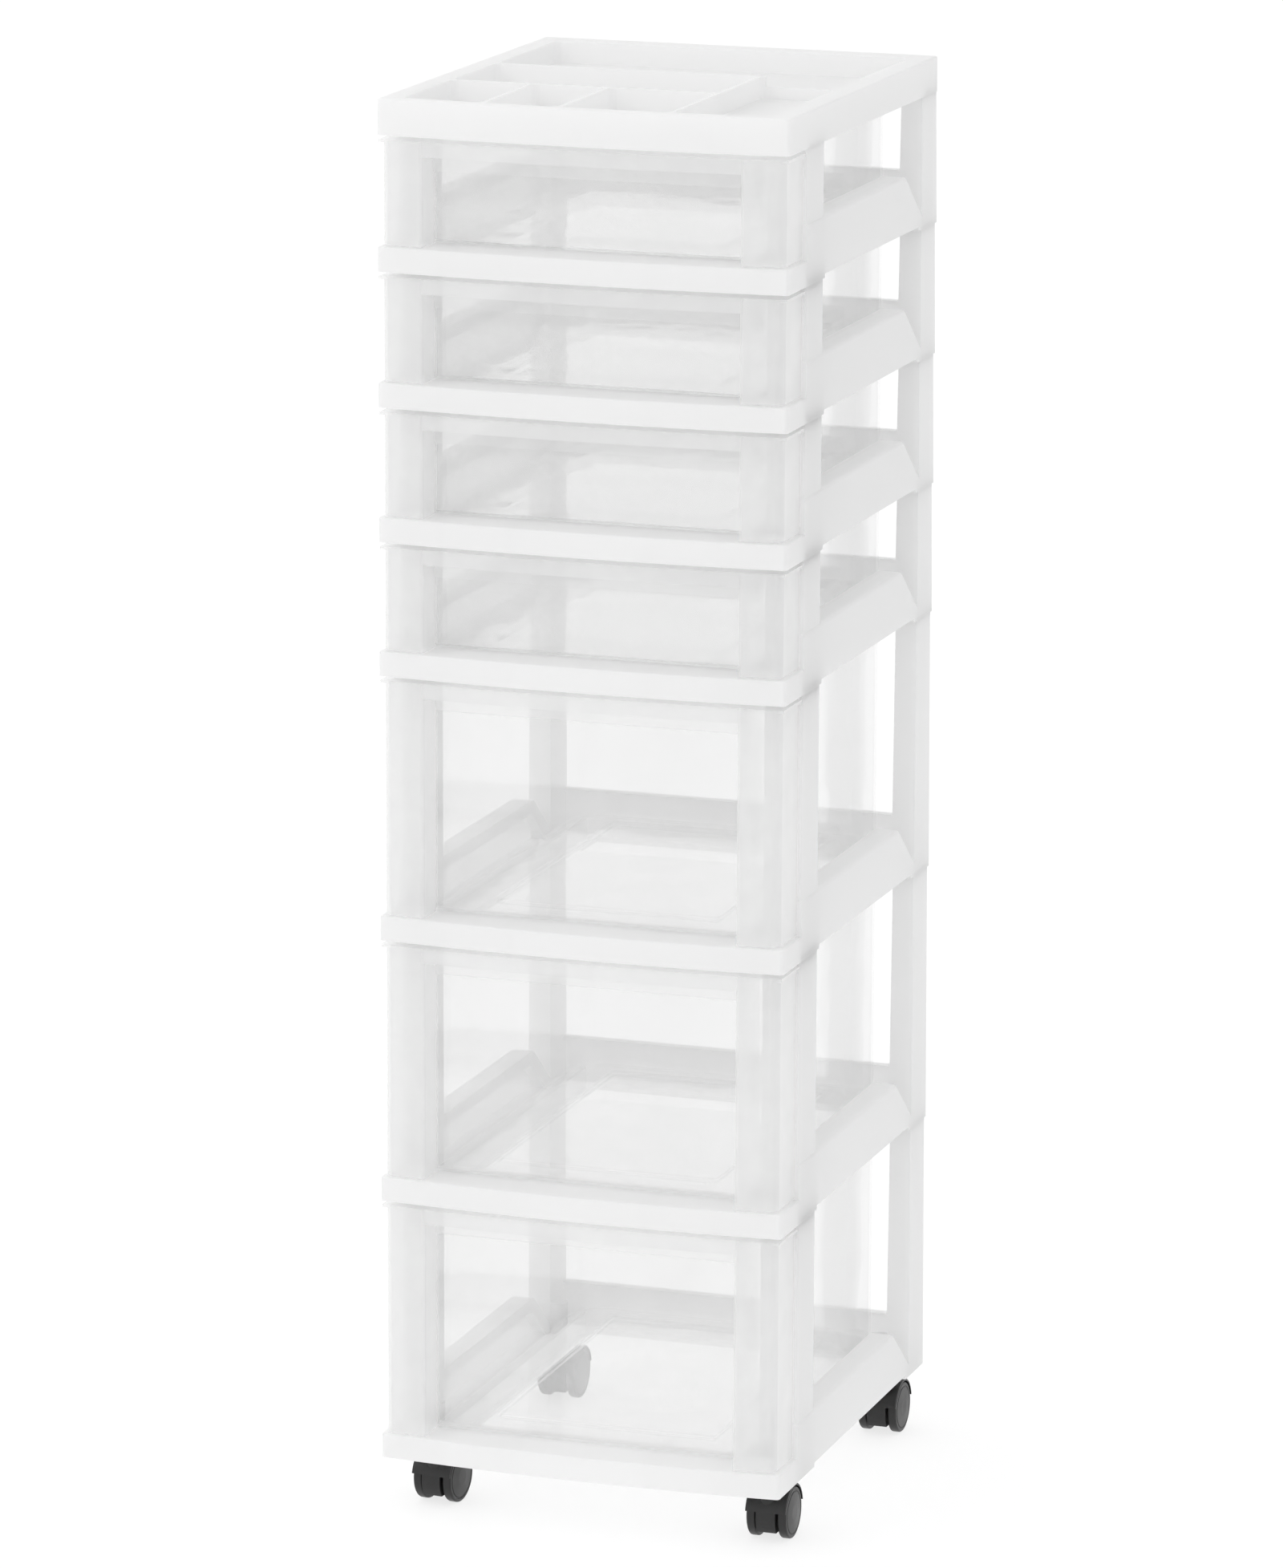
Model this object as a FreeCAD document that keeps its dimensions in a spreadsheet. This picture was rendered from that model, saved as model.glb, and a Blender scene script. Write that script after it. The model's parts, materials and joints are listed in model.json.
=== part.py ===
import FreeCAD, Part
import math
import os
import Sketcher

# Tower of seven clear drawers in white stacking frames, with a tray on top and four twin-wheel casters.
# Frame of the model: +Z up, -Y is the drawers' front, origin on the floor under the middle of the tower.
# Millimetres. Tiers are counted from the top: 1 to 4 are shallow, 5 to 7 are deep.

V = FreeCAD.Vector
doc = FreeCAD.newDocument("drawer_tower")
sheet = doc.addObject("Spreadsheet::Sheet", "dims")


class Q:
    """A size: its value, and the sheet expression that gives it."""

    def __init__(self, v, s):
        self.v = float(v)
        self.s = s

    def __add__(self, o):
        o = q(o)
        return Q(self.v + o.v, "(%s + %s)" % (self.s, o.s))

    def __radd__(self, o):
        return q(o) + self

    def __sub__(self, o):
        o = q(o)
        return Q(self.v - o.v, "(%s - %s)" % (self.s, o.s))

    def __rsub__(self, o):
        return q(o) - self

    def __mul__(self, o):
        o = q(o)
        return Q(self.v * o.v, "(%s * %s)" % (self.s, o.s))

    def __rmul__(self, o):
        return q(o) * self

    def __truediv__(self, o):
        o = q(o)
        return Q(self.v / o.v, "(%s / %s)" % (self.s, o.s))

    def __neg__(self):
        return Q(-self.v, "(0 - %s)" % self.s)


def q(x):
    if isinstance(x, Q):
        return x
    return Q(x, "%.4f" % x if x >= 0 else "(0 - %.4f)" % -x)


row_no = [1]


def dim(alias, value, note):
    n = row_no[0]
    row_no[0] += 1
    sheet.set("A%d" % n, note)
    sheet.set("B%d" % n, "%g" % value)
    sheet.setAlias("B%d" % n, alias)
    return Q(value, "dims.%s" % alias)


# ---- driving dimensions ----
width = dim("width", 306, "overall width of the frames")
side_depth = dim("side_depth", 355, "depth at the side faces")
bow = dim("bow", 7, "how far the front bulges at its middle")
base_z = dim("base_z", 48.5, "underside of the base frame above the floor")
shallow = dim("shallow_height", 97.5, "height of a shallow tier")
deep = dim("deep_height", 195, "height of a deep tier")
tray_h = dim("tray_height", 26, "height of the top tray")
wall = dim("wall", 2.5, "frame wall")
plate = dim("plate", 3, "frame bottom plates")
rail_h = dim("rail_height", 18, "front rail height")
rail_d = dim("rail_depth", 43, "front rail depth at its ends")
post_w = dim("post_width", 28, "front post, seen from the front")
post_end = dim("post_end", 82, "rear edge of the front post, from the front corner")
post_inset = dim("post_inset", 1, "front post set in from the rail's side face")
side_h = dim("side_rail_height", 44.5, "top of the side rail")
side_rise = dim("side_rail_rise", 3, "underside of the side rail above the tier bottom")
side_t = dim("side_rail_thick", 18, "side rail's top flange, outside to inside")
side_lip = dim("side_rail_lip", 10, "inner lip that hangs from the side rail's flange")
side_end = dim("side_rail_end", 318.5, "rear end of the side rail, from the front corner")
runner_in = dim("runner_inner", 107, "inner edge of the bottom flange, from the middle")
rib_x = dim("runner_rib", 112, "runner rib from the middle")
runner_z = dim("runner_top", 19.2, "top of the runner ribs")
bpost_y = dim("back_post_front", 318, "front of the back post, from the front corner")
bpost_w = dim("back_post_width", 18, "back post width")
rear_h = dim("rear_rail_height", 38.5, "rear rail height")
spigot_h = dim("spigot_height", 6, "stacking spigot height")
fit_gap = dim("spigot_gap", 0.6, "gap round a stacking spigot")

d_half = dim("drawer_half_width", 121, "drawer tub, half its width")
d_wall = dim("drawer_wall", 2, "drawer wall")
d_floor = dim("drawer_floor_z", 19.5, "underside of the drawer above the tier bottom")
d_top_gap = dim("drawer_top_gap", 3, "gap over the drawer front")
d_tub_gap = dim("drawer_tub_gap", 8, "gap over the drawer's side walls")
d_panel_y = dim("drawer_panel", 22, "recessed window, from the front corner")
d_rear_y = dim("drawer_rear", 345, "rear of the drawer, from the front corner")
d_rear_r = dim("drawer_rear_radius", 25, "rear corner radius of the tub")
pillar_out = dim("pillar_outer", 149.5, "outer face of a drawer pillar")
pillar_in = dim("pillar_inner", 118, "inner face of a drawer pillar")
pull_h = dim("pull_height", 11, "height of the pull bar")
pull_band = dim("pull_band", 24, "lower edge of the window's thick band, below the drawer top")

t_rim_side = dim("tray_rim_side", 16.5, "tray rim width at the sides")
t_rim_front = dim("tray_rim_front", 11, "tray rim width at the front")
t_rim_back = dim("tray_rim_back", 25, "tray rim width at the back")
t_depth = dim("tray_depth", 16, "depth of the tray's cells")
t_low = dim("tray_low_divider", 7.5, "how far the low divider stays under the rim")

wheel_r = dim("wheel_radius", 19.2, "caster wheel radius")
trail = dim("caster_trail", 12, "axle behind the swivel axis")
stem_r = dim("stem_radius", 4, "caster stem radius")
stem_top = dim("stem_top", 76, "top of the stem above the floor")
hood_top = dim("hood_top", 45.5, "top of the caster housing")
axle_r = dim("axle_radius", 2.5, "axle radius")
cast_x = dim("caster_x", 129.3, "caster swivel axis from the middle")
cast_f = dim("caster_front", 50, "front caster axis, from the front corner")
cast_b = dim("caster_back", 321, "back caster axis, from the front corner")
swivel_fl = dim("swivel_front_left", -6, "front left caster's swivel angle as it stands")

half = width / 2
fy = (bow - side_depth) / 2          # the front corners' y
by = (side_depth + bow) / 2          # the back face's y
doc.recompute()


def front_at(x, inset=0.0):
    """y of the bowed front at x, set back by inset."""
    x = q(x)
    return fy - bow + bow * x * x / (half * half) + inset


# ---- sketches ----
class Sketch:
    def __init__(self, body, name, plane="XY", offset=None):
        self.o = body.newObject("Sketcher::SketchObject", name)
        role = plane + "_Plane"
        support = [f for f in body.Origin.OriginFeatures if f.Role == role][0]
        self.o.AttachmentSupport = [(support, "")]
        self.o.MapMode = "FlatFace"
        if offset is not None:
            offset = q(offset)
            self.o.AttachmentOffset = FreeCAD.Placement(V(0, 0, offset.v), FreeCAD.Rotation())
            self.o.setExpression("AttachmentOffset.Base.z", offset.s)

    def fix(self, kind, args, value):
        n = self.o.addConstraint(Sketcher.Constraint(kind, *args, value.v))
        self.o.setExpression("Constraints[%d]" % n, value.s)

    def loop(self, points, arcs=None, flip=1):
        """A closed outline. points are (x, y); arcs maps the number of a side to (radius, 'L' or 'R'), the side of the
        travel that its centre is on. flip=-1 mirrors it in x."""
        arcs = arcs or {}
        pts = [((q(x) if flip > 0 else -q(x)), q(y)) for x, y in points]
        n = len(pts)
        first, last = [], []
        for i in range(n):
            ax, ay = pts[i][0].v, pts[i][1].v
            bx, by_ = pts[(i + 1) % n][0].v, pts[(i + 1) % n][1].v
            if i in arcs:
                r, side = q(arcs[i][0]), arcs[i][1]
                big = len(arcs[i]) > 2
                if flip < 0:
                    side = "L" if side == "R" else "R"
                mx, my = (ax + bx) / 2, (ay + by_) / 2
                dx, dy = bx - ax, by_ - ay
                c = math.hypot(dx, dy)
                h = math.sqrt(max(r.v * r.v - c * c / 4, 0))
                if big:
                    h = -h
                sx = 1 if side == "L" else -1
                cx, cy = mx - dy / c * h * sx, my + dx / c * h * sx
                a0, a1 = math.atan2(ay - cy, ax - cx), math.atan2(by_ - cy, bx - cx)
                if side == "R":
                    a0, a1 = a1, a0
                if a1 <= a0:
                    a1 += 2 * math.pi
                g = self.o.addGeometry(Part.ArcOfCircle(Part.Circle(V(cx, cy, 0), V(0, 0, 1), r.v), a0, a1), False)
                s, e = ((g, 1), (g, 2)) if side == "L" else ((g, 2), (g, 1))
                first.append(s)
                last.append(e)
                self.fix("Radius", (g,), r)
            else:
                g = self.o.addGeometry(Part.LineSegment(V(ax, ay, 0), V(bx, by_, 0)), False)
                first.append((g, 1))
                last.append((g, 2))
        for i in range(n):
            j = (i + 1) % n
            self.o.addConstraint(Sketcher.Constraint("Coincident", last[i][0], last[i][1], first[j][0], first[j][1]))
        for i in range(n):
            self.fix("DistanceX", first[i], pts[i][0])
            self.fix("DistanceY", first[i], pts[i][1])
        return self

    def rect(self, x0, x1, y0, y1, flip=1):
        return self.loop([(x0, y0), (x1, y0), (x1, y1), (x0, y1)], None, flip)

    def both(self, x0, x1, y0, y1):
        """The same rectangle on the right and on the left."""
        return self.rect(x0, x1, y0, y1).rect(x0, x1, y0, y1, -1)

    def round_rect(self, x0, x1, y0, y1, r, flip=1, r_back=None):
        x0, x1, y0, y1, r = q(x0), q(x1), q(y0), q(y1), q(r)
        b = q(r_back) if r_back is not None else r
        return self.loop([(x0 + r, y0), (x1 - r, y0), (x1, y0 + r), (x1, y1 - b), (x1 - b, y1), (x0 + b, y1), (x0, y1 - b), (x0, y0 + r)],
                         {1: (r, "L"), 3: (b, "L"), 5: (b, "L"), 7: (r, "L")}, flip)

    def circle(self, x, y, r, flip=1):
        x, y, r = q(x), q(y), q(r)
        x = x if flip > 0 else -x
        g = self.o.addGeometry(Part.Circle(V(x.v, y.v, 0), V(0, 0, 1), r.v), False)
        self.fix("Radius", (g,), r)
        self.fix("DistanceX", (g, 3), x)
        self.fix("DistanceY", (g, 3), y)
        return self


def bow_radius(half_chord, sagitta):
    c, s = q(half_chord), q(sagitta)
    return (c * c + s * s) / (2 * s)


def new_body(name):
    b = doc.addObject("PartDesign::Body", name)
    b.Label = name
    return b


def pad(body, sk, length, up=True, mid=False, taper=None):
    f = body.newObject("PartDesign::Pad", "pad")
    f.Profile = sk.o
    length = q(length)
    f.Length = length.v
    f.setExpression("Length", length.s)
    f.Reversed = not up
    if mid:
        f.Midplane = True
    if taper is not None:
        f.TaperAngle = taper.v
        f.setExpression("TaperAngle", taper.s)
    return f


def pocket(body, sk, length, up):
    """up=True cuts towards the sketch's normal, up=False against it."""
    doc.recompute()
    before = body.Shape.Volume
    f = body.newObject("PartDesign::Pocket", "pocket")
    f.Profile = sk.o
    length = q(length)
    f.Length = length.v
    f.setExpression("Length", length.s)
    f.Reversed = up
    doc.recompute()
    if body.Shape.Volume > before - 1.0:
        raise RuntimeError("%s: a pocket cut nothing" % body.Label)
    return f


def fillet(body, radius, test):
    """Rounds the edges of the body's last feature whose middle and box pass the test."""
    doc.recompute()
    tip = body.Tip
    names = []
    for i, e in enumerate(tip.Shape.Edges):
        b = e.BoundBox
        if test(b.Center, b):
            names.append("Edge%d" % (i + 1))
    if not names:
        raise RuntimeError("%s: no edge to round" % body.Label)
    f = body.newObject("PartDesign::Fillet", "fillet")
    f.Base = (tip, names)
    radius = q(radius)
    f.Radius = radius.v
    f.setExpression("Radius", radius.s)
    doc.recompute()
    return f


def stand(body, z):
    z = q(z)
    body.Placement.Base = V(0, 0, z.v)
    body.setExpression("Placement.Base.z", z.s)


# ---- tiers, from the top down ----
heights = [shallow, shallow, shallow, shallow, deep, deep, deep]
bottoms = [base_z + 3 * deep + 3 * shallow, base_z + 3 * deep + 2 * shallow, base_z + 3 * deep + shallow, base_z + 3 * deep,
           base_z + 2 * deep, base_z + deep, base_z]
tray_z = base_z + 3 * deep + 4 * shallow


def rail_outline(sk, inset, front_inset, back):
    """The bowed outline: inset at the sides, front_inset behind the front curve, back its rear edge."""
    hw = half - inset
    sk.loop([(-hw, fy + front_inset), (hw, fy + front_inset), (hw, back), (-hw, back)], {0: (bow_radius(hw, bow), "L")})
    return sk


def build_frame(name, h, z, base=False):
    """One tier's frame: a bowed front rail, two side rails, a rear rail and four posts, moulded in one."""
    b = new_body(name)
    sw = half
    hs, he = h.v, z.v
    # front rail: a bar with rounded ends and edges, hollow from below
    pad(b, rail_outline(Sketch(b, "rail"), 0, 0, fy + rail_d), rail_h)
    fillet(b, 3.0, lambda c, bb: abs(abs(c.x) - sw.v) < 0.01 and abs(c.y - fy.v) < 0.01 and bb.ZLength > 10)
    fillet(b, 1.2, lambda c, bb: abs(bb.ZMin - rail_h.v) < 0.01 and bb.YMin < fy.v + rail_d.v - 0.1)
    pocket(b, rail_outline(Sketch(b, "rail_inside"), wall, wall, fy + rail_d - wall), rail_h - wall, True)
    ribs = Sketch(b, "rail_ribs")
    ribs.both(103, 105, fy - 2, fy + rail_d - 1).both(51, 53, fy - 4.5, fy + rail_d - 1)
    pad(b, ribs, rail_h - wall + 0.5)
    # bottom plates under the posts
    feet = Sketch(b, "feet")
    feet.both(runner_in, sw, fy + rail_d - 1, fy + post_end + 2)
    feet.both(runner_in, sw, fy + side_end - 8, by)
    pad(b, feet, plate)
    # side rails: an outer skin, a wide flange turned in along its top and its sloping rear end, and a lip on the flange
    for s in (1, -1):
        sk = Sketch(b, "side_rail", "YZ", sw - side_t if s > 0 else -sw)
        sk.loop([(fy + rail_d - 1, side_rise), (fy + side_end, side_rise), (fy + side_end, 12), (fy + 281.2, side_h - 1.85), (fy + 276.1, side_h), (fy + rail_d - 1, side_h)],
                {3: (8, "L")})
        pad(b, sk, side_t)
    fillet(b, 3.0, lambda c, bb: abs(abs(c.x) - sw.v) < 0.01 and bb.ZMax > 13 and bb.ZMin > 11.9 and bb.YLength > 1 and c.y > fy.v + rail_d.v)
    for s in (1, -1):
        sk = Sketch(b, "side_rail_inside", "YZ", sw - side_t + wall if s > 0 else -sw + side_t - wall)
        sk.loop([(fy + rail_d + 1, side_rise - 1), (fy + side_end - wall, side_rise - 1), (fy + side_end - wall, 10.8), (fy + 278, side_h - wall), (fy + rail_d + 1, side_h - wall)])
        pocket(b, sk, side_t - 2 * wall, s > 0)
        sk = Sketch(b, "side_rail_open", "YZ", sw - side_t if s > 0 else -sw + side_t)
        sk.loop([(fy + rail_d + 1, side_rise - 1), (fy + side_end - 3.6, side_rise - 1), (fy + 275.3, side_h - side_lip), (fy + rail_d + 1, side_h - side_lip)])
        pocket(b, sk, wall + 0.5, s > 0)
    flange = Sketch(b, "side_flange", "XY", side_rise)
    flange.both(runner_in, sw - 0.4, fy + rail_d - 1, fy + side_end - 0.4)
    pad(b, flange, wall)
    # runner ribs that carry the drawer
    runners = Sketch(b, "runners", "XY", plate - 0.5)
    runners.both(rib_x, rib_x + wall, fy + rail_d - 1, fy + 335)
    pad(b, runners, runner_z - plate + 0.5)
    # rear rail
    rear = Sketch(b, "rear_rail")
    rear.rect(-(sw - bpost_w + 2), sw - bpost_w + 2, by - wall, by)
    pad(b, rear, rear_h)
    lip = Sketch(b, "rear_foot")
    lip.rect(-(runner_in + 1), runner_in + 1, by - 12, by)
    pad(b, lip, plate)
    lip = Sketch(b, "rear_lip", "XY", rear_h - wall)
    lip.rect(-(sw - bpost_w + 2), sw - bpost_w + 2, by - 8, by)
    pad(b, lip, wall)
    # front posts: hollow, with an outer wall, a front wall, a short inner return and a slanting wall behind
    po, pi = sw - post_inset, sw - post_inset - post_w
    y0 = fy + rail_d
    posts = Sketch(b, "front_posts")
    shape = [(pi, y0 - 0.5), (po - 1.5, y0 - 0.5), (po, y0 + 1), (po, fy + post_end), (po - wall - 1, fy + post_end), (pi, y0 + 11)]
    core = [(pi + wall, y0 + wall), (po - wall, y0 + wall), (po - wall, fy + post_end - 2.7), (pi + wall, y0 + 10)]
    posts.loop(shape, {1: (1.5, "L")}).loop(core).loop(shape, {1: (1.5, "L")}, -1).loop(core, None, -1)
    pad(b, posts, h)
    tops = Sketch(b, "post_tops", "XY", h - wall)
    cap = [(pi + 0.6, y0 + 0.6), (po - 0.6, y0 + 0.6), (po - 0.6, fy + post_end - 0.6), (po - wall - 1.2, fy + post_end - 0.6), (pi + 0.6, y0 + 11)]
    tops.loop(cap).loop(cap, None, -1)
    pad(b, tops, wall)
    # back posts: hollow boxes that taper a little upwards
    backs = Sketch(b, "back_posts")
    backs.both(sw - bpost_w, sw, fy + bpost_y, by)
    pad(b, backs, h, taper=Q(math.degrees(math.atan(-1.0 / hs)), "(-1 * atan(1 / %s))" % h.s))
    hollow = Sketch(b, "back_post_inside")
    hollow.both(sw - bpost_w + wall, sw - wall, fy + bpost_y + wall, by - wall)
    pocket(b, hollow, h - wall, True)
    # stacking spigots
    spig = Sketch(b, "spigots", "XY", h - 1)
    spig.both(133 + fit_gap, 146 - fit_gap, fy + 48 + fit_gap, fy + 60 - fit_gap)
    spig.both(sw - bpost_w + wall + fit_gap, sw - wall - fit_gap, fy + bpost_y + wall + fit_gap, by - wall - fit_gap)
    pad(b, spig, spigot_h + 1)
    if base:
        # sockets for the casters' stems
        boss = Sketch(b, "sockets")
        for s in (1, -1):
            boss.circle(cast_x, fy + cast_f, 7, s).circle(cast_x, fy + cast_b, 7, s)
        pad(b, boss, 30)
        bores = Sketch(b, "socket_bores")
        for s in (1, -1):
            bores.circle(cast_x, fy + cast_f, stem_r + 0.3, s).circle(cast_x, fy + cast_b, stem_r + 0.3, s)
        pocket(b, bores, 28.2, True)
        # the front posts' cores open downwards
        cores = Sketch(b, "core_holes")
        cores.both(141, 147, fy + 58, fy + 68)
        pocket(b, cores, side_rise + wall + 0.5, True)
    else:
        slots = Sketch(b, "spigot_holes")
        slots.both(133, 146, fy + 48, fy + 60)
        pocket(b, slots, side_rise + wall + 0.5, True)
    stand(b, z)
    return b


def build_drawer(name, h, z):
    """One drawer: a thin tub with rounded rear corners, two hollow pillars, a pull bar and a recessed window."""
    b = new_body(name)
    w = d_wall
    front, rear = fy + d_panel_y, fy + d_rear_y
    top = h - d_top_gap
    tub_top = h - d_tub_gap
    tub = Sketch(b, "tub", "XY", d_floor)
    tub.round_rect(-d_half, d_half, front, rear, 4, 1, d_rear_r)
    pad(b, tub, tub_top - d_floor)
    fillet(b, 1.5, lambda c, bb: abs(bb.ZMax - d_floor.v) < 0.01 and c.y > front.v + 1)
    inside = Sketch(b, "tub_inside", "XY", tub_top)
    inside.round_rect(-(d_half - w), d_half - w, front + w, rear - w, 2, 1, d_rear_r - w)
    pocket(b, inside, tub_top - d_floor - w, False)
    rim = Sketch(b, "tub_rim", "XY", tub_top - w)
    rim.round_rect(-(d_half + 2), d_half + 2, front + 22, rear + 1.5, 2, 1, d_rear_r + 1.5)
    rim.round_rect(-(d_half - w), d_half - w, front + 22 + w, rear - w, 1, 1, d_rear_r - w)
    # the rim starts behind the front posts' plane, so its front part is open
    pad(b, rim, w)
    cut = Sketch(b, "rim_gap", "XY", tub_top)
    cut.rect(-(d_half - w), d_half - w, front + w, front + 30)
    pocket(b, cut, w, False)
    # floor panel, pressed up a little
    panel = Sketch(b, "floor_panel", "XY", d_floor + w - 0.5)
    panel.round_rect(-85, 85, fy + 59, fy + 319, 3)
    pad(b, panel, 2.8)
    under = Sketch(b, "floor_panel_under", "XY", d_floor)
    under.round_rect(-83.2, 83.2, fy + 60.8, fy + 317.2, 2)
    pocket(b, under, 2.3, True)
    # pillars
    pillars = Sketch(b, "pillars", "XY", d_floor)
    po, pi = pillar_out, pillar_in
    outline = [(pi, front + 1), (pi, fy + 0.5), (pi + 3, fy - 2.6), (po - 7, fy - 0.6), (po, fy + 6.5), (po, fy + rail_d - 1.5),
               (po - w, fy + rail_d - 1.5), (po - w, fy + 6.9), (po - 7.2, fy + 1.4), (pi + 3.2, fy - 0.6), (pi + w, fy + 0.5), (pi + w, front + 1)]
    arcs = {1: (3.1, "L"), 3: (7.1, "L"), 7: (5.4, "R"), 9: (1.2, "R")}
    pillars.loop(outline, arcs).loop(outline, arcs, -1)
    pad(b, pillars, top - d_floor)
    # top flange over the front
    lid = Sketch(b, "front_flange", "XY", top - 2)
    lid.loop([(-152, fy + rail_d - 1.5), (-152, fy + 0.8), (152, fy + 0.8), (152, fy + rail_d - 1.5), (146, fy + rail_d - 1.5), (146, front + w), (-146, front + w), (-146, fy + rail_d - 1.5)],
             {1: (bow_radius(152, bow), "L")})
    pad(b, lid, 2)
    # pull bar between the pillars, and the wall behind it
    bar = Sketch(b, "pull_bar", "XY", top - pull_h)
    cx = pi + 1
    sag = bow * cx * cx / (half * half)
    bar.loop([(-cx, front_at(cx, 0.8)), (cx, front_at(cx, 0.8)), (cx, front_at(cx, 0.8) + w), (-cx, front_at(cx, 0.8) + w)],
             {0: (bow_radius(cx, sag), "L"), 2: (bow_radius(cx, sag), "R")})
    pad(b, bar, pull_h)
    back = Sketch(b, "window_top", "XY", tub_top - 4)
    back.rect(-(pi + 1), pi + 1, front, front + w)
    pad(b, back, top - tub_top + 4)
    band = Sketch(b, "window_band", "XY", top - pull_band)
    band.rect(-(pi + 0.5), pi + 0.5, front - 1, front + 1)
    pad(b, band, pull_band - pull_h + 1)
    stand(b, z)
    return b


def build_tray(name, z):
    b = new_body(name)
    pad(b, rail_outline(Sketch(b, "tray"), 0, 0, by), tray_h)
    fillet(b, 3.0, lambda c, bb: abs(abs(c.x) - half.v) < 0.01 and bb.ZLength > 10)
    fillet(b, 1.6, lambda c, bb: abs(bb.ZMin - tray_h.v) < 0.01)
    # hollow from below, deeper behind the rim
    pocket(b, rail_outline(Sketch(b, "tray_under"), wall, wall, by - wall), tray_h - t_depth - 2, True)
    x1 = half - t_rim_side + 2.2
    ring = Sketch(b, "tray_rim_under")
    rail_outline(ring, wall, wall, by - wall)
    ring.loop([(-x1, front_at(x1, t_rim_front - 2.2)), (x1, front_at(x1, t_rim_front - 2.2)), (x1, by - t_rim_back + 2.2), (-x1, by - t_rim_back + 2.2)],
              {0: (bow_radius(x1, bow * x1 * x1 / (half * half)), "L")})
    pocket(b, ring, tray_h - 2, True)
    # cells
    xl = half - t_rim_side
    y_a, y_b, y_c = fy + 108, fy + 202, fy + 205
    r = 6
    cells = Sketch(b, "cells", "XY", tray_h)
    for x0, x1_ in ((-xl, q(-77)), (q(-74), q(-19.5)), (q(-16.5), q(63.5))):
        f0, f1 = front_at(x0, t_rim_front), front_at(x1_, t_rim_front)
        cells.loop([(x0 + r, f0), (x1_ - r, f1), (x1_, f1 + r), (x1_, y_a - r), (x1_ - r, y_a), (x0 + r, y_a), (x0, y_a - r), (x0, f0 + r)],
                   {1: (r, "L"), 3: (r, "L"), 5: (r, "L"), 7: (r, "L")})
    cells.round_rect(-xl, 63.5, y_a + 3, y_b, r)
    f0, f1 = front_at(66.5, t_rim_front), front_at(xl, t_rim_front)
    cells.loop([(q(66.5) + r, f0), (xl - r, f1), (xl, f1 + r), (xl, y_b - r), (xl - r, y_b), (q(66.5) + r, y_b), (q(66.5), y_b - r), (q(66.5), f0 + r)],
               {1: (r, "L"), 3: (r, "L"), 5: (r, "L"), 7: (r, "L")})
    cells.round_rect(-xl, xl, y_c, by - t_rim_back, r)
    pocket(b, cells, t_depth, False)
    low = Sketch(b, "low_divider", "XY", tray_h)
    low.rect(66.5 + 3.0, xl - 0.01, y_b - 6.5, y_c + 6.5)
    pocket(b, low, t_low, False)
    stand(b, z)
    return b


# ---- casters ----
def place_caster(body, x, y, turn):
    body.Placement = FreeCAD.Placement(V(x.v, y.v, 0), FreeCAD.Rotation(V(0, 0, 1), turn))
    body.setExpression("Placement.Base.x", x.s)
    body.setExpression("Placement.Base.y", y.s)


def revolve(body, sk, axis_role):
    f = body.newObject("PartDesign::Revolution", "turned")
    f.Profile = sk.o
    axis = [o for o in body.Origin.OriginFeatures if o.Role == axis_role][0]
    f.ReferenceAxis = (axis, [""])
    f.Angle = 360.0
    return f


def build_stem(name):
    b = new_body(name)
    sk = Sketch(b, "stem_half", "XZ")
    r, t = stem_r, stem_top
    sk.loop([(0, 26), (r - 0.8, 26), (r, 26.8), (r, 46), (8, 46), (8, base_z), (r, base_z), (r, t - 14), (r - 0.5, t - 14), (r - 0.5, t - 11), (r, t - 11), (r, t - 1.2), (r - 1.2, t), (0, t)])
    revolve(b, sk, "Z_Axis")
    return b


def build_ring(name):
    b = new_body(name)
    sk = Sketch(b, "ring_half", "XZ")
    sk.rect(stem_r - 0.42, stem_r + 0.22, stem_top - 13.8, stem_top - 11.2)
    revolve(b, sk, "Z_Axis")
    gap = Sketch(b, "split", "XY", stem_top - 15)
    gap.rect(0, stem_r + 2, -0.7, 0.7)
    pocket(b, gap, 6, True)
    return b


def build_axle(name):
    b = new_body(name)
    sk = Sketch(b, "axle", "YZ")
    sk.circle(trail, wheel_r, axle_r)
    pad(b, sk, 30, mid=True)
    return b


def build_hood(name):
    b = new_body(name)
    # centre web between the wheels, cut off flat near the floor
    sk = Sketch(b, "web", "YZ")
    r, zc = 20.8, 7.5
    dy = math.sqrt(r * r - (wheel_r.v - zc) ** 2)
    sk.loop([(trail - dy, zc), (trail + dy, zc)], {1: (r, "L", "big")})
    pad(b, sk, 14.8, mid=True)
    # mudguard over both wheels
    sk = Sketch(b, "guard", "YZ")
    ro, ri = 21.8, 20.2
    a = math.radians(12)
    ca, sa = math.cos(a), math.sin(a)
    sk.loop([(trail + ro * ca, wheel_r + ro * sa), (trail - ro * ca, wheel_r + ro * sa), (trail - ri * ca, wheel_r + ri * sa), (trail + ri * ca, wheel_r + ri * sa)],
            {0: (ro, "L"), 2: (ri, "R")})
    pad(b, sk, 31, mid=True)
    fillet(b, 0.8, lambda c, bb: abs(abs(c.x) - 15.5) < 0.01 and bb.YLength > 30 and bb.ZMax > wheel_r.v + ro - 0.5)
    # swivel boss
    sk = Sketch(b, "boss", "XY", 22)
    sk.circle(0, 0, 7.4)
    pad(b, sk, hood_top - 22)
    sk = Sketch(b, "boss_top", "XY", 40)
    sk.circle(0, 0, 10)
    pad(b, sk, hood_top - 40)
    sk = Sketch(b, "stem_bore", "XY", hood_top)
    sk.circle(0, 0, stem_r + 0.08)
    pocket(b, sk, hood_top - 25.5, False)
    sk = Sketch(b, "axle_bore", "YZ", -20)
    sk.circle(trail, wheel_r, axle_r + 0.03)
    pocket(b, sk, 40, True)
    return b


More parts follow.
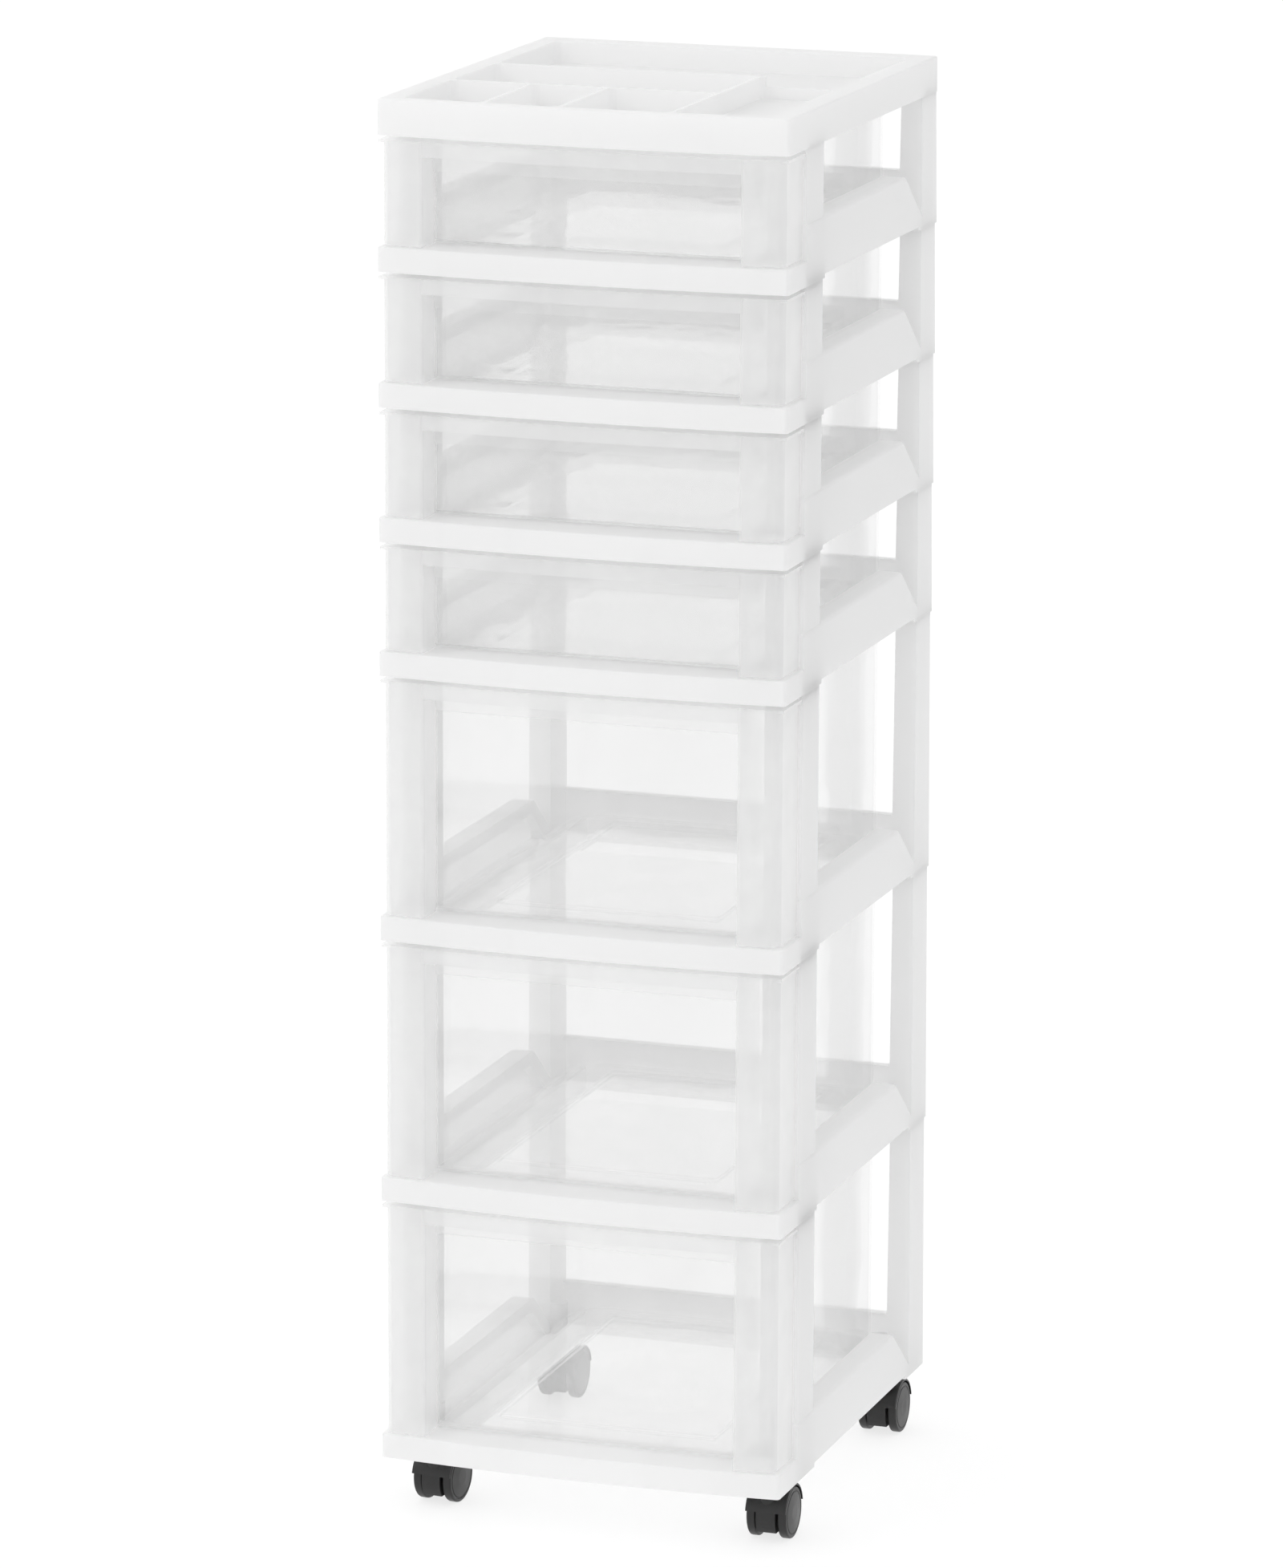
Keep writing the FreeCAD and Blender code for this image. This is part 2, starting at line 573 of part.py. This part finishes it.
def build_wheel(name, s):
    b = new_body(name)
    sk = Sketch(b, "wheel_half", "XZ")
    # drawn about its own axis, then set on the axle's line
    r = wheel_r
    pts = [(15.2, 0), (15.2, axle_r + 0.08), (8.1, axle_r + 0.08), (8.1, 6), (10.4, 7), (10.4, r - 4), (8.3, r - 3), (8.3, r - 1.5), (9.8, r), (13.8, r), (15.3, r - 1.5),
           (15.3, r - 2.6), (14.8, r - 3), (14.8, r - 3.5), (15.4, r - 3.9), (16, 6), (16, 0)]
    sk.loop(pts, {7: (1.5, "R"), 9: (1.5, "R")}, s)
    revolve(b, sk, "X_Axis")
    return b


made = []
made.append(build_tray("organizer_tray", tray_z))
for i in range(7):
    nm = "base_frame" if i == 6 else "tier_frame_%d" % (i + 1)
    made.append(build_frame(nm, heights[i], bottoms[i], base=(i == 6)))
for i in range(7):
    made.append(build_drawer("drawer_%d" % (i + 1), heights[i], bottoms[i]))
corners = {"front_left": (-cast_x, fy + cast_f, swivel_fl.v), "front_right": (cast_x, fy + cast_f, 0.0),
           "back_left": (-cast_x, fy + cast_b, 0.0), "back_right": (cast_x, fy + cast_b, 0.0)}
for key, (cx_, cy_, turn) in corners.items():
    for part_name, maker in (("housing", build_hood), ("stem", build_stem), ("grip_ring", build_ring), ("axle", build_axle)):
        piece = maker("%s_caster_%s" % (key, part_name))
        place_caster(piece, cx_, cy_, turn)
        made.append(piece)
    for side, s in (("left", -1), ("right", 1)):
        piece = build_wheel("%s_wheel_%s" % (key, side), s)
        a = math.radians(turn)
        wx = cx_ - trail * math.sin(a)
        wy = cy_ + trail * math.cos(a)
        piece.Placement = FreeCAD.Placement(V(wx.v, wy.v, wheel_r.v), FreeCAD.Rotation(V(0, 0, 1), turn))
        piece.setExpression("Placement.Base.x", wx.s)
        piece.setExpression("Placement.Base.y", wy.s)
        piece.setExpression("Placement.Base.z", wheel_r.s)
        made.append(piece)

doc.recompute()
bad = [o.Name for o in doc.Objects if "Invalid" in o.State or "Error" in o.State]
if bad:
    raise RuntimeError("failed objects: %s" % ", ".join(bad))
for piece in made:
    s = piece.Shape
    if s.isNull() or not s.isValid():
        raise RuntimeError("%s has no valid shape" % piece.Label)
os.makedirs("parts", exist_ok=True)
for piece in made:
    s = piece.Shape
    s.exportStep("parts/%s.step" % piece.Label)
    bb = s.BoundBox
    print("%-28s solids %d faces %3d volume %9.0f  x %.1f %.1f  y %.1f %.1f  z %.1f %.1f" % (
        piece.Label, len(s.Solids), len(s.Faces), s.Volume, bb.XMin, bb.XMax, bb.YMin, bb.YMax, bb.ZMin, bb.ZMax))
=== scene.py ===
import json
import math

import bmesh
import bpy
from mathutils import Matrix, Vector


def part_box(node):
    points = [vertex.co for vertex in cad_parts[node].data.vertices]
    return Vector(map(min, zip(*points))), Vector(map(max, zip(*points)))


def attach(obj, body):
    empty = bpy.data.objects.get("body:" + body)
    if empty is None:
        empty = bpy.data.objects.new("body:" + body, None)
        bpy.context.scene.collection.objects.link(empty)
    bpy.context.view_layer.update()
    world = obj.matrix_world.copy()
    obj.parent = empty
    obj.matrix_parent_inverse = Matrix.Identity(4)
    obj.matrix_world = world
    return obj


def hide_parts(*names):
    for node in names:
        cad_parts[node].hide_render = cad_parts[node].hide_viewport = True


# Looks for the drawer tower: moulded white frames, clear drawers with frosted fronts, black casters.
# Metres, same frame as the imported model: +Z up, -Y front, origin on the floor under the middle.

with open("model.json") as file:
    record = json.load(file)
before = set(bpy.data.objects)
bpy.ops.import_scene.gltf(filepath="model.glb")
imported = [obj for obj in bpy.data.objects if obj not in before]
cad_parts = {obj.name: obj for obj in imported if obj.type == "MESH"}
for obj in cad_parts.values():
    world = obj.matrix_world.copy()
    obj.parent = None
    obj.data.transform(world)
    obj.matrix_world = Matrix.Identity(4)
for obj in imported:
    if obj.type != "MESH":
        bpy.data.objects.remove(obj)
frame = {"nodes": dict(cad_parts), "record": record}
nodes = frame["nodes"]
body_of_node = {n: b for b, members in frame["record"]["behaviour"]["bodies"].items() for n in members}
slot_of_node = {s["node"]: s["material_slot"] for s in frame["record"]["subparts"]}
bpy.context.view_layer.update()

FRONT = -0.174          # y of the front corners
FRAMES = ["tier_frame_%d" % i for i in range(1, 7)] + ["base_frame"]
DRAWERS = ["drawer_%d" % i for i in range(1, 8)]


# ---------------------------------------------------------------- materials
def new_material(name):
    m = bpy.data.materials.new(name)
    m.use_nodes = True
    m.node_tree.nodes.clear()
    return m, m.node_tree


def add(nt, kind, **values):
    n = nt.nodes.new(kind)
    for k, v in values.items():
        if k.startswith("_"):
            setattr(n, k[1:], v)
        else:
            n.inputs[k.replace("_", " ")].default_value = v
    return n


def noise(nt, coords, scale, detail=2.0, rough=0.5):
    n = nt.nodes.new("ShaderNodeTexNoise")
    n.inputs["Scale"].default_value = scale
    n.inputs["Detail"].default_value = detail
    n.inputs["Roughness"].default_value = rough
    nt.links.new(coords, n.inputs["Vector"])
    return n


def ramp(nt, source, lo, hi, start=0.3, end=0.7):
    """A colour ramp from lo at start to hi at end."""
    r = nt.nodes.new("ShaderNodeValToRGB")
    r.color_ramp.elements[0].position = start
    r.color_ramp.elements[1].position = end
    r.color_ramp.elements[0].color = (*lo, 1) if isinstance(lo, tuple) else (lo, lo, lo, 1)
    r.color_ramp.elements[1].color = (*hi, 1) if isinstance(hi, tuple) else (hi, hi, hi, 1)
    nt.links.new(source, r.inputs["Fac"])
    return r


def bump(nt, height, strength, distance, normal=None):
    b = nt.nodes.new("ShaderNodeBump")
    b.inputs["Strength"].default_value = strength
    b.inputs["Distance"].default_value = distance
    nt.links.new(height, b.inputs["Height"])
    if normal is not None:
        nt.links.new(normal, b.inputs["Normal"])
    return b


def white_plastic():
    m, nt = new_material("white_moulding")
    co = nt.nodes.new("ShaderNodeTexCoord").outputs["Object"]
    p = add(nt, "ShaderNodeBsdfPrincipled", IOR=1.49)
    flow = noise(nt, co, 9.0, 3.0)
    nt.links.new(ramp(nt, flow.outputs["Fac"], (0.97, 0.97, 0.97), (0.982, 0.982, 0.982)).outputs["Color"], p.inputs["Base Color"])
    grain = noise(nt, co, 900.0, 2.0)
    nt.links.new(ramp(nt, grain.outputs["Fac"], 0.36, 0.46).outputs["Color"], p.inputs["Roughness"])
    nt.links.new(bump(nt, grain.outputs["Fac"], 0.12, 0.0002).outputs["Normal"], p.inputs["Normal"])
    # a wall this thin lets some light through
    glow = nt.nodes.new("ShaderNodeBsdfTranslucent")
    glow.inputs["Color"].default_value = (0.99, 0.99, 0.99, 1)
    mix = nt.nodes.new("ShaderNodeMixShader")
    mix.inputs["Fac"].default_value = 0.5
    nt.links.new(p.outputs["BSDF"], mix.inputs[1])
    nt.links.new(glow.outputs["BSDF"], mix.inputs[2])
    out = nt.nodes.new("ShaderNodeOutputMaterial")
    nt.links.new(mix.outputs["Shader"], out.inputs["Surface"])
    return m


def clear_plastic(name, haze, frost, rough, wave, tint):
    """Clear moulding: see-through, with a thin haze, and mirroring as a smooth face does, the same from both sides.
    haze is the share that scatters, frost how much of that passes through as glow, wave how uneven the wall is."""
    m, nt = new_material(name)
    co = nt.nodes.new("ShaderNodeTexCoord").outputs["Object"]
    waves = noise(nt, co, 21.0, 1.0)
    fine = noise(nt, co, 700.0, 2.0)
    b = bump(nt, waves.outputs["Fac"], wave, 0.004)
    b = bump(nt, fine.outputs["Fac"], 0.02 + frost * 0.2, 0.0002, b.outputs["Normal"])
    # what scatters: a pale body, partly lit through from behind
    p = add(nt, "ShaderNodeBsdfPrincipled", IOR=1.49, Roughness=0.6, Specular_IOR_Level=0.0)
    p.inputs["Base Color"].default_value = (0.985, 0.985, 0.985, 1)
    glow = nt.nodes.new("ShaderNodeBsdfTranslucent")
    glow.inputs["Color"].default_value = (0.985, 0.985, 0.985, 1)
    body = nt.nodes.new("ShaderNodeMixShader")
    body.inputs["Fac"].default_value = frost
    nt.links.new(p.outputs["BSDF"], body.inputs[1])
    nt.links.new(glow.outputs["BSDF"], body.inputs[2])
    see = nt.nodes.new("ShaderNodeBsdfTransparent")
    see.inputs["Color"].default_value = (*tint, 1)
    vary = ramp(nt, noise(nt, co, 14.0, 2.0).outputs["Fac"], haze * 0.8, haze * 1.2)
    inner = nt.nodes.new("ShaderNodeMixShader")
    nt.links.new(vary.outputs["Color"], inner.inputs["Fac"])
    nt.links.new(see.outputs["BSDF"], inner.inputs[1])
    nt.links.new(body.outputs["Shader"], inner.inputs[2])
    # what mirrors: 4 percent straight on, all of it at grazing angles
    layer = nt.nodes.new("ShaderNodeLayerWeight")
    layer.inputs["Blend"].default_value = 0.5
    steep = nt.nodes.new("ShaderNodeMath")
    steep.operation = "POWER"
    nt.links.new(layer.outputs["Facing"], steep.inputs[0])
    steep.inputs[1].default_value = 5.0
    share = nt.nodes.new("ShaderNodeMath")
    share.operation = "MULTIPLY_ADD"
    nt.links.new(steep.outputs["Value"], share.inputs[0])
    share.inputs[1].default_value = 0.96
    share.inputs[2].default_value = 0.04
    gloss = nt.nodes.new("ShaderNodeBsdfGlossy")
    gloss.inputs["Color"].default_value = (1, 1, 1, 1)
    nt.links.new(ramp(nt, fine.outputs["Fac"], rough * 0.85, rough * 1.15).outputs["Color"], gloss.inputs["Roughness"])
    nt.links.new(b.outputs["Normal"], gloss.inputs["Normal"])
    mix = nt.nodes.new("ShaderNodeMixShader")
    nt.links.new(share.outputs["Value"], mix.inputs["Fac"])
    nt.links.new(inner.outputs["Shader"], mix.inputs[1])
    nt.links.new(gloss.outputs["BSDF"], mix.inputs[2])
    out = nt.nodes.new("ShaderNodeOutputMaterial")
    nt.links.new(mix.outputs["Shader"], out.inputs["Surface"])
    return m


def black_plastic():
    m, nt = new_material("black_moulding")
    co = nt.nodes.new("ShaderNodeTexCoord").outputs["Object"]
    p = add(nt, "ShaderNodeBsdfPrincipled", IOR=1.5)
    grain = noise(nt, co, 1200.0, 3.0)
    worn = noise(nt, co, 60.0, 4.0)
    nt.links.new(ramp(nt, worn.outputs["Fac"], (0.006, 0.006, 0.006), (0.012, 0.0115, 0.0115)).outputs["Color"], p.inputs["Base Color"])
    nt.links.new(ramp(nt, worn.outputs["Fac"], 0.32, 0.46).outputs["Color"], p.inputs["Roughness"])
    nt.links.new(bump(nt, grain.outputs["Fac"], 0.15, 0.0002).outputs["Normal"], p.inputs["Normal"])
    out = nt.nodes.new("ShaderNodeOutputMaterial")
    nt.links.new(p.outputs["BSDF"], out.inputs["Surface"])
    return m


def steel():
    m, nt = new_material("plated_steel")
    co = nt.nodes.new("ShaderNodeTexCoord").outputs["Object"]
    p = add(nt, "ShaderNodeBsdfPrincipled", Metallic=1.0)
    grain = noise(nt, co, 500.0, 3.0)
    nt.links.new(ramp(nt, grain.outputs["Fac"], (0.5, 0.5, 0.51), (0.62, 0.62, 0.63)).outputs["Color"], p.inputs["Base Color"])
    nt.links.new(ramp(nt, grain.outputs["Fac"], 0.25, 0.4).outputs["Color"], p.inputs["Roughness"])
    out = nt.nodes.new("ShaderNodeOutputMaterial")
    nt.links.new(p.outputs["BSDF"], out.inputs["Surface"])
    return m


WHITE = white_plastic()
CLEAR = clear_plastic("clear_moulding", 0.05, 0.5, 0.04, 0.14, (0.972, 0.972, 0.972))
BOTTOM = clear_plastic("clear_floor", 0.2, 0.5, 0.035, 0.3, (0.99, 0.99, 0.99))
FROST = clear_plastic("frosted_moulding", 0.3, 0.5, 0.34, 0.05, (0.98, 0.98, 0.98))
BLACK = black_plastic()
STEEL = steel()


# ---------------------------------------------------------------- meshes
def copy_of(node, name, sharp=35.0):
    """A new piece with the node's mesh, its flat faces joined up and its sharp edges marked."""
    me = nodes[node].data.copy()
    me.name = name
    bm = bmesh.new()
    bm.from_mesh(me)
    bmesh.ops.remove_doubles(bm, verts=bm.verts, dist=1e-6)
    bmesh.ops.dissolve_limit(bm, angle_limit=math.radians(0.3), verts=bm.verts, edges=bm.edges)
    for e in bm.edges:
        e.smooth = len(e.link_faces) == 2 and e.calc_face_angle(0) < math.radians(sharp)
    for f in bm.faces:
        f.smooth = True
    bm.to_mesh(me)
    bm.free()
    if me.has_custom_normals:
        me.attributes.remove(me.attributes["custom_normal"])
    o = bpy.data.objects.new(name, me)
    bpy.context.scene.collection.objects.link(o)
    return o


def stand_for(o, node):
    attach(o, body_of_node[node])
    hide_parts(node)
    return o


def paint(o, *materials):
    o.data.materials.clear()
    for m in materials:
        o.data.materials.append(m)


for n in ["organizer_tray"] + FRAMES:
    o = copy_of(n, n + "_look")
    paint(o, WHITE)
    stand_for(o, n)

for n in DRAWERS:
    o = copy_of(n, n + "_look")
    paint(o, CLEAR, FROST, BOTTOM)
    lo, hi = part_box(n)
    for f in o.data.polygons:
        c = f.center
        pillar = abs(c.x) > 0.1175 and c.y < FRONT + 0.042
        band = c.y < FRONT + 0.0245 and c.z > hi.z - 0.0245
        floor = abs(f.normal.z) > 0.9 and c.z < lo.z + 0.006 and not pillar
        f.material_index = 1 if (pillar or band) else 2 if floor else 0
    stand_for(o, n)

for n, s in slot_of_node.items():
    if s == "black_plastic":
        paint(nodes[n], BLACK)
    elif s == "steel":
        paint(nodes[n], STEEL)


# ---------------------------------------------------------------- floor, light, camera
def make_floor():
    me = bpy.data.meshes.new("floor")
    r = 12.0
    me.from_pydata([(-r, -r, 0), (r, -r, 0), (r, r, 0), (-r, r, 0)], [], [(0, 1, 2, 3)])
    o = bpy.data.objects.new("studio_floor", me)
    bpy.context.scene.collection.objects.link(o)
    m, nt = new_material("studio_floor")
    p = add(nt, "ShaderNodeBsdfPrincipled", Roughness=0.9)
    p.inputs["Base Color"].default_value = (0.25, 0.25, 0.25, 1)
    p.inputs["Emission Color"].default_value = (1, 1, 1, 1)
    # a lit sweep: a little paler in the picture than in the light it throws
    path = nt.nodes.new("ShaderNodeLightPath")
    level = nt.nodes.new("ShaderNodeMath")
    level.operation = "MULTIPLY_ADD"
    either = nt.nodes.new("ShaderNodeMath")
    either.operation = "MAXIMUM"
    nt.links.new(path.outputs["Is Camera Ray"], either.inputs[0])
    nt.links.new(path.outputs["Is Glossy Ray"], either.inputs[1])
    nt.links.new(either.outputs["Value"], level.inputs[0])
    level.inputs[1].default_value = 0.07
    level.inputs[2].default_value = 0.69
    nt.links.new(level.outputs["Value"], p.inputs["Emission Strength"])
    out = nt.nodes.new("ShaderNodeOutputMaterial")
    nt.links.new(p.outputs["BSDF"], out.inputs["Surface"])
    me.materials.append(m)


def make_world():
    w = bpy.data.worlds.new("studio")
    bpy.context.scene.world = w
    w.use_nodes = True
    nt = w.node_tree
    nt.nodes.clear()
    co = nt.nodes.new("ShaderNodeTexCoord")
    dot = nt.nodes.new("ShaderNodeVectorMath")
    dot.operation = "DOT_PRODUCT"
    dot.inputs[1].default_value = (-0.15, -0.13, 0.15)
    nt.links.new(co.outputs["Generated"], dot.inputs[0])
    level = nt.nodes.new("ShaderNodeMath")
    level.operation = "ADD"
    level.inputs[1].default_value = 1.07
    nt.links.new(dot.outputs["Value"], level.inputs[0])
    lit = nt.nodes.new("ShaderNodeBackground")
    nt.links.new(level.outputs["Value"], lit.inputs["Strength"])
    seen = nt.nodes.new("ShaderNodeBackground")
    seen.inputs["Color"].default_value = (1, 1, 1, 1)
    seen.inputs["Strength"].default_value = 1.08
    path = nt.nodes.new("ShaderNodeLightPath")
    # the white backdrop also shows in what mirrors it
    either = nt.nodes.new("ShaderNodeMath")
    either.operation = "MAXIMUM"
    nt.links.new(path.outputs["Is Camera Ray"], either.inputs[0])
    nt.links.new(path.outputs["Is Glossy Ray"], either.inputs[1])
    mix = nt.nodes.new("ShaderNodeMixShader")
    nt.links.new(either.outputs["Value"], mix.inputs["Fac"])
    nt.links.new(lit.outputs["Background"], mix.inputs[1])
    nt.links.new(seen.outputs["Background"], mix.inputs[2])
    out = nt.nodes.new("ShaderNodeOutputWorld")
    nt.links.new(mix.outputs["Shader"], out.inputs["Surface"])


def make_light(name, where, to, size, power):
    d = bpy.data.lights.new(name, "AREA")
    d.shape = "RECTANGLE"
    d.size, d.size_y = size
    d.energy = power
    o = bpy.data.objects.new(name, d)
    o.location = where
    o.rotation_mode = "QUATERNION"
    o.rotation_quaternion = (Vector(where) - Vector(to)).to_track_quat("Z", "Y")
    bpy.context.scene.collection.objects.link(o)


def make_camera():
    pos = Vector((1.8032, -5.3046, 1.8155))
    yaw, pitch, roll = math.radians(-18.903), math.radians(12.938), math.radians(0.212)
    f = Vector((math.sin(yaw) * math.cos(pitch), math.cos(yaw) * math.cos(pitch), -math.sin(pitch)))
    r = Vector((math.cos(yaw), -math.sin(yaw), 0))
    u = r.cross(f)
    r2 = math.cos(roll) * r + math.sin(roll) * u
    u2 = -math.sin(roll) * r + math.cos(roll) * u
    d = bpy.data.cameras.new("camera")
    d.sensor_fit = "AUTO"
    d.sensor_width = 36.0
    d.lens = 9775.1 * 36.0 / 1955.0
    d.clip_start, d.clip_end = 0.1, 60.0
    o = bpy.data.objects.new("camera", d)
    o.matrix_world = Matrix(((r2.x, u2.x, -f.x, pos.x), (r2.y, u2.y, -f.y, pos.y), (r2.z, u2.z, -f.z, pos.z), (0, 0, 0, 1)))
    bpy.context.scene.collection.objects.link(o)
    bpy.context.scene.camera = o


make_floor()
make_world()
make_light("key", (-1.6, -2.2, 2.6), (0, 0, 0.6), (1.6, 1.6), 8)
make_camera()
bpy.context.scene.view_settings.view_transform = "Standard"
cycles = bpy.context.scene.cycles
cycles.transparent_max_bounces = 64
cycles.max_bounces = 24
cycles.diffuse_bounces = 12
cycles.glossy_bounces = 6
